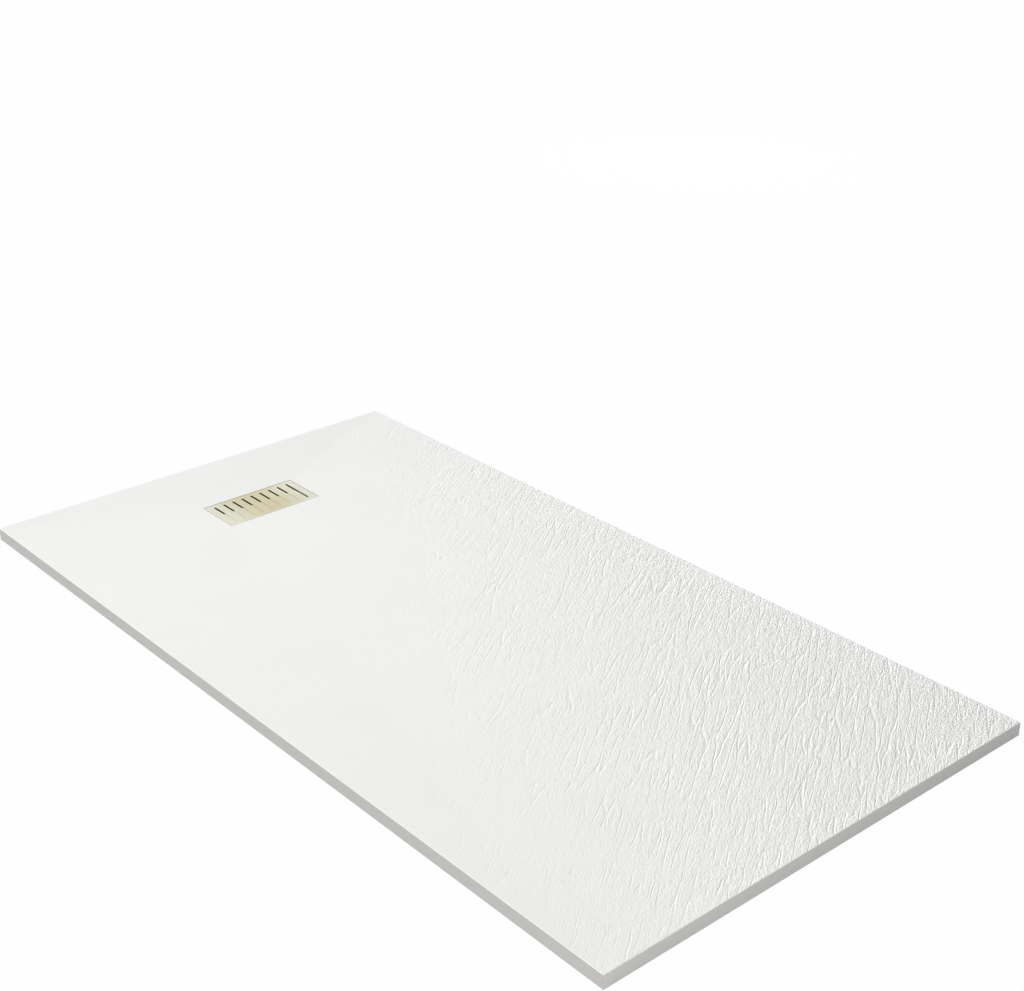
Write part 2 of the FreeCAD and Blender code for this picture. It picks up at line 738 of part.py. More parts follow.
side_slot_cut = pocket(hair_strainer, side_slot, strainer_radius, forward=True)
repeat_round(hair_strainer, [side_slot_cut], "strainer_slot_count")

# Knob: a moulded stem pushed through the middle of the strainer's base, with a round head.
knob_top = f"({recess_floor} + knob_rise)"
knob_shoulder = f"({strainer_bottom} + strainer_wall)"
strainer_knob = new_piece("strainer_knob", x=drain_x)
knob_side = new_sketch(strainer_knob, "knob_side", "XZ_Plane")
draw_outline(knob_side, [
    ("0", strainer_bottom),
    ("knob_stem / 2", strainer_bottom),
    ("knob_stem / 2", knob_shoulder),
    ("knob_collar / 2", knob_shoulder),
    ("knob_collar / 2", f"{knob_shoulder} + knob_collar_height"),
    ("knob_stem / 2", f"{knob_shoulder} + knob_collar_height"),
    ("knob_stem / 2", f"{knob_top} - knob_thickness"),
    ("knob_diameter / 2", f"{knob_top} - knob_thickness"),
    ("knob_diameter / 2", knob_top),
    ("0", knob_top),
])
revolve(strainer_knob, knob_side)


# Check every object, that each cut removed something and that each piece is sound, then write.
document.recompute()
failed = [item.Name for item in document.Objects if {"Invalid", "Error"} & set(item.State)]
if failed:
    raise RuntimeError(f"objects that failed: {failed}")
for body, feature, volume in cuts:
    if feature.Shape.Volume > volume - 0.1:
        raise RuntimeError(f"{feature.Name} removes nothing")
for piece in pieces:
    if piece.Shape.isNull() or not piece.Shape.isValid():
        raise RuntimeError(f"{piece.Label} is not a sound solid")

os.makedirs("parts", exist_ok=True)
for piece in pieces:
    piece.Shape.exportStep(f"parts/{piece.Label}.step")
    print(f"{piece.Label}: {len(piece.Shape.Solids)} solids, {piece.Shape.Volume:.0f} mm3")
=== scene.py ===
import math
import random

import bmesh
import bpy
import numpy
from mathutils import Matrix, Vector, noise


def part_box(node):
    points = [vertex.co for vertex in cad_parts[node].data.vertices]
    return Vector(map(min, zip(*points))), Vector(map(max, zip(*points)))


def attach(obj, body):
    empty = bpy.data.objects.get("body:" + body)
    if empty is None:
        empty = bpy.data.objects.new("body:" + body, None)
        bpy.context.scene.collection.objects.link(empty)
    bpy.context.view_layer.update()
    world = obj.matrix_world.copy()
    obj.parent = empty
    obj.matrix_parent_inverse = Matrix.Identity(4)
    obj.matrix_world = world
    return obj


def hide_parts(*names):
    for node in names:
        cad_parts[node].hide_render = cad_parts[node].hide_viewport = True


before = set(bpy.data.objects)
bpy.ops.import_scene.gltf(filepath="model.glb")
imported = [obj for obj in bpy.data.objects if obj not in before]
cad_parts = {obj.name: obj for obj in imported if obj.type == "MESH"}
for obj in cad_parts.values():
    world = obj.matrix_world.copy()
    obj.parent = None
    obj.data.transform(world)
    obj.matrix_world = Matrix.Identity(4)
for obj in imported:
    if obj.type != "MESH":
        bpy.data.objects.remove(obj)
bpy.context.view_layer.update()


# ---------------------------------------------------------------------------------------------
# Slab. One casting of mineral resin: crushed stone and chalk bound in polyester, poured into a
# mould and trimmed flat underneath. It only shows below the gel coat and from underneath.
# ---------------------------------------------------------------------------------------------

def paint(code):
    """An sRGB hex colour as the linear colour that a socket takes."""
    parts = [int(code[i:i + 2], 16) / 255 for i in (0, 2, 4)]
    return [*(c / 12.92 if c <= 0.04045 else ((c + 0.055) / 1.055) ** 2.4 for c in parts), 1]


def cells(*millimetres):
    """The scale at which a pattern's cells are this big, with one size or one for each axis."""
    scales = tuple(1000 / size for size in millimetres)
    return scales if len(scales) > 1 else scales[0]


def add_node(tree, kind, settings={}, links={}):
    """Adds a node to a tree. A link's value is a number, a colour, or another node's output."""
    node = tree.nodes.new(kind)
    for name, value in settings.items():
        setattr(node, name, value)
    for name, value in links.items():
        if isinstance(value, bpy.types.NodeSocket):
            tree.links.new(value, node.inputs[name])
        else:
            node.inputs[name].default_value = value
    return node


def new_finish(name, **constants):
    """A material's tree, its shader with the sockets that are the same all over, and the
    piece's own coordinates in metres."""
    finish = bpy.data.materials.new(name)
    finish.use_nodes = True
    tree = finish.node_tree
    shader = tree.nodes["Principled BSDF"]
    for socket, value in constants.items():
        shader.inputs[socket.replace("_", " ")].default_value = value
    place = add_node(tree, "ShaderNodeTexCoord").outputs["Object"]
    return finish, tree, shader, place


def dress(names, finish):
    """Gives carried-over nodes their material."""
    for name in names:
        for material_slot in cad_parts[name].material_slots:
            material_slot.material = finish


# Filled polyester, sawn and sanded: chalky and matt, with darker and lighter filler grains.
cast_resin, tree, shader, place = new_finish("mineral_resin_cast_and_sanded", IOR=1.53)
grains = add_node(tree, "ShaderNodeTexVoronoi", {}, {"Vector": place, "Scale": cells(1.8)})
grain_tone = add_node(tree, "ShaderNodeValToRGB", {}, {"Fac": grains.outputs["Color"]})
for tone, code, level in zip(grain_tone.color_ramp.elements, ("b9b4ab", "dcd9d2"), (0.05, 0.45)):
    tone.color = paint(code)
    tone.position = level
tree.links.new(grain_tone.outputs["Color"], shader.inputs["Base Color"])
dust = add_node(tree, "ShaderNodeTexNoise", {}, {"Vector": place, "Scale": cells(6), "Detail": 4})
dull = add_node(tree, "ShaderNodeMapRange", {},
                {"Value": dust.outputs["Fac"], "To Min": 0.7, "To Max": 0.9})
tree.links.new(dull.outputs["Result"], shader.inputs["Roughness"])
sanding = add_node(tree, "ShaderNodeBump", {},
                   {"Height": grains.outputs["Distance"], "Strength": 0.3, "Distance": 0.0003})
tree.links.new(sanding.outputs["Normal"], shader.inputs["Normal"])
dress(["tray_core"], cast_resin)


# ---------------------------------------------------------------------------------------------
# Gel coat. A white polyester skin 1.2 mm thick, sprayed into a mould taken from riven slate, so
# the top has the slate's creases, all leaning the same way, and its fine grain. They die away
# round the grate and are strongest in the rough corner, at the other end on the +Y side.
# ---------------------------------------------------------------------------------------------

TRAY_LENGTH, TRAY_WIDTH = 1.700, 0.900
RECESS_HALF_X, RECESS_HALF_Y = 0.0525, 0.1025
GRATE_LOW, GRATE_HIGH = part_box("grate_plate")
grate_centre = (GRATE_LOW + GRATE_HIGH) / 2

# Points that are nearer to each other than this are one. So are flat faces whose slopes, in
# radians, differ by less than this.
SAME_POINT, SAME_SLOPE = 1e-6, 0.0012

gel_coat_mesh = bmesh.new()
gel_coat_mesh.from_mesh(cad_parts["gel_coat"].data)
bmesh.ops.remove_doubles(gel_coat_mesh, verts=gel_coat_mesh.verts, dist=SAME_POINT)
bmesh.ops.dissolve_limit(gel_coat_mesh, angle_limit=SAME_SLOPE, verts=gel_coat_mesh.verts,
                         edges=gel_coat_mesh.edges)

# The slate's grain runs at this angle to the tray's length. ACROSS points over the creases,
# towards the rough corner, and ALONG follows them.
GRAIN_ANGLE = math.radians(55.5)
ACROSS = Vector((math.sin(GRAIN_ANGLE), math.cos(GRAIN_ANGLE), 0))
ALONG = Vector((math.cos(GRAIN_ANGLE), -math.sin(GRAIN_ANGLE), 0))

# The relief grows along this direction: slight round the grate, full in the rough corner.
ROUGH_WAY, ROUGH_START = Vector((0.55, 1.10, 0)), -0.28


def rough_share(x, y):
    """0 near the grate and along the -Y side, 1 in the rough corner, eased at both ends."""
    way = numpy.clip(ROUGH_WAY.x * x + ROUGH_WAY.y * y - ROUGH_START, 0, 1)
    return way * way * (3 - 2 * way)


def slice_faces(faces, direction, places):
    """Cuts faces at places along a direction, the middle one first, and returns them all."""
    if not places or not faces:
        return faces
    middle = len(places) // 2
    # A dict keeps the order, so that every run cuts alike.
    edges = dict.fromkeys(edge for face in faces for edge in face.edges)
    verts = dict.fromkeys(vert for face in faces for vert in face.verts)
    cut = bmesh.ops.bisect_plane(gel_coat_mesh, geom=[*verts, *edges, *faces], dist=SAME_POINT,
                                 plane_co=direction * places[middle], plane_no=direction)
    faces = [part for part in cut["geom"] if isinstance(part, bmesh.types.BMFace)]
    before, after = [], []
    for face in faces:
        side = before if face.calc_center_median().dot(direction) < places[middle] else after
        side.append(face)
    return (slice_faces(before, direction, places[:middle])
            + slice_faces(after, direction, places[middle + 1:]))


# The top's faces look straight up and lie higher than this. The recess's floor lies lower.
FLAT, TOP_LEVEL = 0.99, GRATE_HIGH.z - 0.0005


def top_faces():
    """The faces of the tray's top."""
    return [face for face in gel_coat_mesh.faces
            if face.normal.z > FLAT and face.calc_center_median().z > TOP_LEVEL]


# The top is cut closely over the grain, and at its closest once CLOSING times the share of the
# way to the rough corner is 1. Along the grain the cuts are a few times as far apart. Where the
# relief has more than DOUBLE_FROM of its strength, there are twice as many of them.
WIDEST_CUT, CLOSEST_CUT, CLOSING = 0.0055, 0.0016, 1.35
CUT_ALONG, DOUBLE_FROM = 0.014, 0.30
# Slivers thinner than this close up.
SLIVER = 2e-5

reach_across = (TRAY_LENGTH * ACROSS.x + TRAY_WIDTH * ACROSS.y) / 2
reach_along = (TRAY_LENGTH * ALONG.x - TRAY_WIDTH * ALONG.y) / 2
places_across = [-reach_across]
while places_across[-1] < reach_across:
    closeness = min(1, CLOSING * (places_across[-1] + reach_across) / (2 * reach_across))
    places_across.append(places_across[-1] + WIDEST_CUT + (CLOSEST_CUT - WIDEST_CUT) * closeness)
places_along = [i * CUT_ALONG - reach_along for i in range(int(2 * reach_along / CUT_ALONG) + 1)]

top = slice_faces(top_faces(), ACROSS, places_across)
top = slice_faces(top, ALONG, places_along)
rough = [face for face in top if rough_share(*face.calc_center_median()[:2]) > DOUBLE_FROM]
slice_faces(rough, ALONG, [cut + CUT_ALONG / 2 for cut in places_along])
bmesh.ops.dissolve_degenerate(gel_coat_mesh, dist=SLIVER, edges=gel_coat_mesh.edges)

top_verts = list(dict.fromkeys(vert for face in top_faces() for vert in face.verts))
x, y = numpy.array([vert.co[:2] for vert in top_verts]).T
across = x * ACROSS.x + y * ACROSS.y
along = x * ALONG.x + y * ALONG.y
share = rough_share(x, y)
relief = numpy.zeros(len(x))

# A crease's two walls, of which the one towards the grate is steeper, and its ends, which die
# away over one FADE-th of its length.
STEEP_WALL, SLOPING_WALL, FADE = 0.0015, 0.0021, 5


def press_crease(start_across, start_along, length, lean, height, kinks):
    """Raises or lowers the top along one wandering line, tapered at both ends."""
    way = (along - start_along) / length
    line = start_across + lean * (along - start_along)
    for size, waves, phase in kinks:
        line = line + size * numpy.sin(waves * way + phase)
    off = across - line
    near = (way > 0) & (way < 1) & (abs(off) < SLOPING_WALL)
    wall = numpy.where(off[near] < 0, -off[near] / STEEP_WALL, off[near] / SLOPING_WALL)
    taper = numpy.clip(numpy.minimum(way[near], 1 - way[near]) * FADE, 0, 1)
    shift = height * taper * numpy.clip(1 - wall, 0, 1)
    relief[near] = numpy.where(abs(shift) > abs(relief[near]), shift, relief[near])


# How many creases of a kind are tried, their greatest height or depth, shortest and longest
# length, and the most that lie in one set. Only the long ones lie in sets, and some of them fork.
LONG_CREASES = (120, 0.00074, 0.080, 0.210, 4)
MIDDLE_CREASES = (560, 0.00050, 0.045, 0.110, 1)
SHORT_CREASES = (1000, 0.00032, 0.018, 0.050, 1)
# The share of them that is kept at the grate, and how fast it grows towards the rough corner.
LEAST_KEPT, CROWDING = 0.12, 1.3
# A crease leans a little off the grain. It has at least the WEAKEST share of its kind's height,
# and it is raised, or sunk a little more.
LEAN_SPREAD, WEAKEST, RAISED, SUNK = 0.11, 0.5, 0.8, -1
# Its bends and its smaller wobbles: how far they swing, as a share of its length, and how many
# radians of a wave they run through on it.
BEND, WOBBLE, ANY_PHASE = (0.016, 7), (0.004, 19), 6
# A fork leaves after a part of the crease, three times out of four to the same side.
FORK_CHANCE, FORK_SIDES, FORK_TURN = 0.5, (-1, -1, -1, 1), (0.12, 0.30)
FORK_START, FORK_LENGTH = (0.2, 0.6), (0.4, 0.8)
# From one crease of a set to the next: the step over the grain, the shift along it, the turn.
SET_STEP, SET_SHIFT, SET_TURN = (0.005, 0.018), 0.030, 0.04

maker = random.Random(11)
for count, height, shortest, longest, most in (LONG_CREASES, MIDDLE_CREASES, SHORT_CREASES):
    for _ in range(count):
        start_across = maker.uniform(-reach_across, reach_across)
        start_along = maker.uniform(-reach_along, reach_along)
        middle = ACROSS * start_across + ALONG * (start_along + shortest / 2)
        if maker.random() > LEAST_KEPT + CROWDING * rough_share(middle.x, middle.y):
            continue
        lean = maker.gauss(0, LEAN_SPREAD)
        for _ in range(maker.randint(1, most)):
            length = maker.uniform(shortest, longest)
            size = height * maker.uniform(WEAKEST, 1) * maker.choice((RAISED, SUNK))
            kinks = [(length * maker.uniform(0, swing), waves, maker.uniform(0, ANY_PHASE))
                     for swing, waves in (BEND, WOBBLE)]
            press_crease(start_across, start_along, length, lean, size, kinks)
            if most > 1 and maker.random() < FORK_CHANCE:
                fork = start_along + length * maker.uniform(*FORK_START)
                turn = lean + maker.choice(FORK_SIDES) * maker.uniform(*FORK_TURN)
                press_crease(start_across + lean * (fork - start_along), fork,
                             length * maker.uniform(*FORK_LENGTH), turn, size, kinks)
            start_across += maker.uniform(*SET_STEP)
            start_along += maker.gauss(0, SET_SHIFT)
            lean += maker.gauss(0, SET_TURN)

# At the grate CREASE_LEAST of a crease's height is left. The power brings the creases in nearer
# to the grate than the rest of the relief.
CREASE_LEAST, CREASE_EASE = 0.03, 0.4
relief *= CREASE_LEAST + (1 - CREASE_LEAST) * share ** CREASE_EASE

# Between them the surface is ribbed along the grain, and it swells a little. Each of these waves
# has its width over the grain, its length along it, its height, and a layer of the noise. At the
# grate WAVES_LEAST of them is left.
FINE_RIBS = (0.0036, 0.016, 0.00046, 3.1)
BROAD_RIBS = (0.0090, 0.040, 0.00032, 8.7)
SWELLS = (0.060, 0.130, 0.00020, 5.5)
WAVES_LEAST = 0.07
for i, (u, v) in enumerate(zip(across, along)):
    waves = sum(height * noise.noise(Vector((u / width, v / length, layer)))
                for width, length, height, layer in (FINE_RIBS, BROAD_RIBS, SWELLS))
    relief[i] += (WAVES_LEAST + (1 - WAVES_LEAST) * share[i]) * waves

# A narrow rim stays flat. From there, and from the recess, the relief comes in over a few
# millimetres, and the top sinks by half the relief's depth, so that its highest points reach the
# skin's true face. It is nowhere as deep as the skin is thick.
RIM, RELIEF_SLOPE = 0.002, 0.004
SINK, SINK_SLOPE, DEEPEST = 0.00056, 0.030, 0.00112
to_rim = numpy.minimum(TRAY_LENGTH / 2 - abs(x), TRAY_WIDTH / 2 - abs(y)) - RIM
to_recess = numpy.hypot(numpy.maximum(abs(x - grate_centre.x) - RECESS_HALF_X, 0),
                        numpy.maximum(abs(y - grate_centre.y) - RECESS_HALF_Y, 0))
to_edge = numpy.minimum(to_rim, to_recess)
relief = (relief * numpy.clip(to_edge / RELIEF_SLOPE, 0, 1)
          - SINK * share * numpy.clip(to_edge / SINK_SLOPE, 0, 1))
for vert, shift in zip(top_verts, numpy.clip(relief, -DEEPEST, 0)):
    vert.co.z += shift

# What looks up has the slate's finish, the rest the sides' finish, painted greyer as shade.
# Edges that turn more than SHARP stay crisp.
LOOKS_UP, SHARP = 0.5, math.radians(50)
gel_coat_mesh.normal_update()
for face in gel_coat_mesh.faces:
    face.smooth = True
    face.material_index = 0 if face.normal.z > LOOKS_UP else 1
for edge in gel_coat_mesh.edges:
    edge.smooth = edge.calc_face_angle(0) < SHARP
gel_coat_data = bpy.data.meshes.new("gel_coat_skin")
gel_coat_mesh.to_mesh(gel_coat_data)
gel_coat_mesh.free()
gel_coat = bpy.data.objects.new("gel_coat_skin", gel_coat_data)
bpy.context.collection.objects.link(gel_coat)

# Gel coat off a slate-textured mould: satin, and its fine pits and ribs break up the shine.
slate_gel_coat, tree, shader, place = new_finish(
    "gel_coat_from_slate_mould", IOR=1.5, Roughness=0.52)
grain_turn = add_node(tree, "ShaderNodeMapping", {"vector_type": "TEXTURE"},
                      {"Vector": place, "Rotation": (0, 0, math.radians(90) - GRAIN_ANGLE)})
# A stipple, a little longer along the grain, and finer pits. A real one is finer still.
PITS_SHARE = 0.7
stipple_place = add_node(tree, "ShaderNodeVectorMath", {"operation": "MULTIPLY"},
                         {0: grain_turn.outputs["Vector"], 1: cells(3.3, 6.5, 6.5)})
stipple = add_node(tree, "ShaderNodeTexNoise", {},
                   {"Vector": stipple_place.outputs["Vector"], "Scale": 1, "Detail": 2})
pits = add_node(tree, "ShaderNodeTexNoise", {},
                {"Vector": place, "Scale": cells(2.4), "Detail": 2})
grain_height = add_node(tree, "ShaderNodeMath", {"operation": "MULTIPLY_ADD"},
                        {0: pits.outputs["Fac"], 1: PITS_SHARE, 2: stipple.outputs["Fac"]})
# All of it grows towards the rough corner, as the relief does.
rough_way = add_node(tree, "ShaderNodeVectorMath", {"operation": "DOT_PRODUCT"},
                     {0: place, 1: tuple(ROUGH_WAY)})
grain_share = add_node(tree, "ShaderNodeMapRange", {"interpolation_type": "SMOOTHSTEP"},
                       {"Value": rough_way.outputs["Value"], "From Min": ROUGH_START,
                        "From Max": ROUGH_START + 1, "To Min": 0.08, "To Max": 1.0})
# Thin cracks run on for a hand's length, wander and fork: the borders of long, narrow cells.
# Towards the grate they stand out more from the rest.
WANDER = (0.55, 0.08, 0)
wander = add_node(tree, "ShaderNodeTexNoise", {},
                  {"Vector": place, "Scale": cells(45), "Detail": 2})
cell_place = add_node(tree, "ShaderNodeVectorMath", {"operation": "MULTIPLY"},
                      {0: grain_turn.outputs["Vector"], 1: cells(16, 220, 220)})
crack_place = add_node(tree, "ShaderNodeVectorMath", {"operation": "MULTIPLY_ADD"},
                       {0: wander.outputs["Color"], 1: WANDER, 2: cell_place.outputs["Vector"]})
cracks = add_node(tree, "ShaderNodeTexVoronoi",
                  {"voronoi_dimensions": "2D", "feature": "DISTANCE_TO_EDGE"},
                  {"Vector": crack_place.outputs["Vector"], "Scale": 1})
crack_depth = add_node(tree, "ShaderNodeMapRange", {"interpolation_type": "SMOOTHSTEP"},
                       {"Value": cracks.outputs["Distance"], "From Max": 0.08,
                        "To Min": -0.38, "To Max": 0})
# They come and go in patches, fewer of them towards the grate.
PATCH_GROWTH = 0.15
patches = add_node(tree, "ShaderNodeTexNoise", {},
                   {"Vector": place, "Scale": cells(50), "Detail": 2})
patch_level = add_node(tree, "ShaderNodeMath", {"operation": "MULTIPLY_ADD"},
                       {0: grain_share.outputs["Result"], 1: PATCH_GROWTH,
                        2: patches.outputs["Fac"]})
patch_share = add_node(tree, "ShaderNodeMapRange", {},
                       {"Value": patch_level.outputs["Value"], "From Min": 0.52,
                        "From Max": 0.62})
crack_share = add_node(tree, "ShaderNodeMapRange", {},
                       {"Value": grain_share.outputs["Result"], "To Min": 2.0, "To Max": 0.9})
crack_gain = add_node(tree, "ShaderNodeMath", {"operation": "MULTIPLY"},
                      {0: patch_share.outputs["Result"], 1: crack_share.outputs["Result"]})
top_height = add_node(tree, "ShaderNodeMath", {"operation": "MULTIPLY_ADD"},
                      {0: crack_depth.outputs["Result"], 1: crack_gain.outputs["Value"],
                       2: grain_height.outputs["Value"]})
grain_bump = add_node(tree, "ShaderNodeBump", {},
                      {"Height": top_height.outputs["Value"],
                       "Strength": grain_share.outputs["Result"], "Distance": 0.0018})
tree.links.new(grain_bump.outputs["Normal"], shader.inputs["Normal"])
# The white is a shade warmer in wide, soft patches.
tone = add_node(tree, "ShaderNodeTexNoise", {},
                {"Vector": place, "Scale": cells(180), "Detail": 3})
white = add_node(tree, "ShaderNodeMix", {"data_type": "RGBA"},
                 {"Factor": tone.outputs["Fac"], "A": paint("f3f3f1"), "B": paint("f7f7f6")})
tree.links.new(white.outputs["Result"], shader.inputs["Base Color"])


def tint_and_dull(tree, shader, pattern, dark, light, smooth, dull):
    """Lets one pattern run the colour from dark to light and the roughness from smooth to dull."""
    tint = add_node(tree, "ShaderNodeMix", {"data_type": "RGBA"},
                    {"Factor": pattern, "A": paint(dark), "B": paint(light)})
    tree.links.new(tint.outputs["Result"], shader.inputs["Base Color"])
    gloss = add_node(tree, "ShaderNodeMapRange", {},
                     {"Value": pattern, "To Min": smooth, "To Max": dull})
    tree.links.new(gloss.outputs["Result"], shader.inputs["Roughness"])


# The sides come off a flat, matt mould wall, with a faint roller texture. Their grey is painted
# shade: the same white gel coat as the top, darkened for the weaker light that falls on them.
side_gel_coat_painted_shade, tree, shader, place = new_finish("gel_coat_sides_painted_shade", IOR=1.5)
roller = add_node(tree, "ShaderNodeTexNoise", {},
                  {"Vector": place, "Scale": cells(4), "Detail": 3})
# Both greys here are painted shade on the white gel coat.
tint_and_dull(tree, shader, roller.outputs["Fac"], "c2c1be", "c8c7c5",
              smooth=0.5, dull=0.66)
side_bump = add_node(tree, "ShaderNodeBump", {},
                     {"Height": roller.outputs["Fac"], "Strength": 0.15, "Distance": 0.0004})
tree.links.new(side_bump.outputs["Normal"], shader.inputs["Normal"])

gel_coat_data.materials.append(slate_gel_coat)
gel_coat_data.materials.append(side_gel_coat_painted_shade)
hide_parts("gel_coat")
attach(gel_coat, "root")


# ---------------------------------------------------------------------------------------------
# Waste. A white moulded clamp ring is screwed down through the tray's hole into brass inserts
# in the trap, with a flat gasket above and one below the casting.
# ---------------------------------------------------------------------------------------------

def mould_polypropylene(name, dark, light, cloud_size, smooth, dull, **constants):
    """Injection-moulded polypropylene: cloudy from dark to light in patches of one size, with a
    fine spark-eroded surface that runs from smooth to dull."""
    finish, tree, shader, place = new_finish(name, IOR=1.49, **constants)
    erosion = add_node(tree, "ShaderNodeTexNoise", {},
                       {"Vector": place, "Scale": cells(0.8), "Detail": 4})
    cloud = add_node(tree, "ShaderNodeTexNoise", {},
                     {"Vector": place, "Scale": cells(cloud_size), "Detail": 2})
    tint = add_node(tree, "ShaderNodeMix", {"data_type": "RGBA"},
                    {"Factor": cloud.outputs["Fac"], "A": paint(dark), "B": paint(light)})
    tree.links.new(tint.outputs["Result"], shader.inputs["Base Color"])
    gloss = add_node(tree, "ShaderNodeMapRange", {},
                     {"Value": erosion.outputs["Fac"], "To Min": smooth, "To Max": dull})
    tree.links.new(gloss.outputs["Result"], shader.inputs["Roughness"])
    erosion_bump = add_node(tree, "ShaderNodeBump", {},
                            {"Height": erosion.outputs["Fac"], "Strength": 0.2,
                             "Distance": 0.0002})
    tree.links.new(erosion_bump.outputs["Normal"], shader.inputs["Normal"])
    return finish


# White and a little milky, for the clamp ring, the trap, the dip tube and the strainer's knob.
white_plastic = mould_polypropylene(
    "polypropylene_moulded_white", "e4e4e0", "eeeeec", cloud_size=25, smooth=0.34, dull=0.5,
    Subsurface_Weight=0.05, Subsurface_Scale=0.002)
dress(["clamp_ring", "trap_body", "dip_tube", "strainer_knob"], white_plastic)

# Grey, for the outlet's nut and washer, the water cup and the hair strainer.
grey_plastic = mould_polypropylene(
    "polypropylene_moulded_grey", "8b8e90", "9a9c9d", cloud_size=18, smooth=0.36, dull=0.52)
dress(["outlet_washer", "outlet_nut", "water_cup", "hair_strainer"], grey_plastic)

# EPDM rubber, pressed: soft black with a dry bloom in patches, no clear highlight.
black_rubber, tree, shader, place = new_finish("epdm_rubber_pressed_black", IOR=1.5)
bloom = add_node(tree, "ShaderNodeTexNoise", {},
                 {"Vector": place, "Scale": cells(9), "Detail": 5})
tint_and_dull(tree, shader, bloom.outputs["Fac"], "1b1b1c", "2c2c2d",
              smooth=0.6, dull=0.85)
skin = add_node(tree, "ShaderNodeTexNoise", {},
                {"Vector": place, "Scale": cells(0.6), "Detail": 3})
skin_bump = add_node(tree, "ShaderNodeBump", {},
                     {"Height": skin.outputs["Fac"], "Strength": 0.3, "Distance": 0.0002})
tree.links.new(skin_bump.outputs["Normal"], shader.inputs["Normal"])
dress(["grate_feet", "lower_gasket", "outlet_seal", "ring_seal"], black_rubber)

# Grey TPE, cut from sheet: smoother than the pressed rubber, with fine rolling marks.
grey_rubber, tree, shader, place = new_finish("tpe_sheet_grey", IOR=1.5)
rolled = add_node(tree, "ShaderNodeVectorMath", {"operation": "MULTIPLY"},
                  {0: place, 1: cells(1.2, 14, 14)})
rolling = add_node(tree, "ShaderNodeTexNoise", {},
                   {"Vector": rolled.outputs["Vector"], "Scale": 1, "Detail": 3})
tint_and_dull(tree, shader, rolling.outputs["Fac"], "54575a", "626567",
              smooth=0.5, dull=0.7)
dress(["upper_gasket"], grey_rubber)

# Stainless steel, cold headed or drawn: bright, with fine drawing lines.
stainless, tree, shader, place = new_finish("stainless_steel_drawn", Metallic=1)
drawn = add_node(tree, "ShaderNodeVectorMath", {"operation": "MULTIPLY"},
                 {0: place, 1: cells(0.5, 0.5, 8)})
drawing = add_node(tree, "ShaderNodeTexNoise", {},
                   {"Vector": drawn.outputs["Vector"], "Scale": 1, "Detail": 3})
tint_and_dull(tree, shader, drawing.outputs["Fac"], "c4c4c3", "d6d6d4",
              smooth=0.22, dull=0.38)
dress(["clamp_screws", "grate_studs"], stainless)

# Brass, turned from bar: warm yellow, with the tool's fine rings round each insert, about three
# to a wave's cell.
turned_brass, tree, shader, place = new_finish("brass_turned", Metallic=1)
rings = add_node(tree, "ShaderNodeTexWave", {"bands_direction": "Z"},
                 {"Vector": place, "Scale": cells(3), "Distortion": 0.4})
tint_and_dull(tree, shader, rings.outputs["Fac"], "c9a75a", "dcbf77",
              smooth=0.25, dull=0.4)
dress(["screw_inserts"], turned_brass)


# ---------------------------------------------------------------------------------------------
# Grate. A stainless steel plate, cut, brushed along its length and coloured to a pale champagne
# gold. One slot crosses almost the whole plate, and a shallow groove carries on each short one.
# ---------------------------------------------------------------------------------------------

champagne_steel, tree, shader, place = new_finish(
    "stainless_steel_brushed_champagne", Metallic=1, Anisotropic=0.4)
brushed = add_node(tree, "ShaderNodeVectorMath", {"operation": "MULTIPLY"},
                   {0: place, 1: cells(0.7, 22, 22)})
brushing = add_node(tree, "ShaderNodeTexNoise", {},
                    {"Vector": brushed.outputs["Vector"], "Scale": 1, "Detail": 3})
# The colour is full in the middle and paler towards the plate's ends, with an uneven border
# between the two.
FULL_COLOUR_TO, PALE_FROM, UNEVEN = 0.040, 0.125, 0.05
pale_end_noise = add_node(tree, "ShaderNodeTexNoise", {},
                {"Vector": place, "Scale": cells(45), "Detail": 2})
plate_place = add_node(tree, "ShaderNodeSeparateXYZ", {}, {0: place})
from_middle = add_node(tree, "ShaderNodeMath", {"operation": "ABSOLUTE"},
                       {0: plate_place.outputs["Y"]})
pale_end_border = add_node(tree, "ShaderNodeMath", {"operation": "MULTIPLY_ADD"},
                     {0: pale_end_noise.outputs["Fac"], 1: UNEVEN, 2: from_middle.outputs["Value"]})
pale_end_share = add_node(tree, "ShaderNodeMapRange", {"interpolation_type": "SMOOTHSTEP"},
                      {"Value": pale_end_border.outputs["Value"], "From Min": FULL_COLOUR_TO,
                       "From Max": PALE_FROM})
face_tone = add_node(tree, "ShaderNodeMix", {"data_type": "RGBA"},
                     {"Factor": pale_end_share.outputs["Result"], "A": paint("d6cfae"),
                      "B": paint("e4e3d2")})
# The cut edges below the face are painted a dark grey brown, a painted shade in the slots and the
# gap round the plate, and the grooves take a little of it.
FACE_DEPTH, EDGE_DEPTH = 0.0003, 0.0006
painted_shade_below_face = add_node(tree, "ShaderNodeMapRange", {},
                      {"Value": plate_place.outputs["Z"], "From Min": GRATE_HIGH.z - EDGE_DEPTH,
                       "From Max": GRATE_HIGH.z - FACE_DEPTH, "To Min": 1, "To Max": 0})
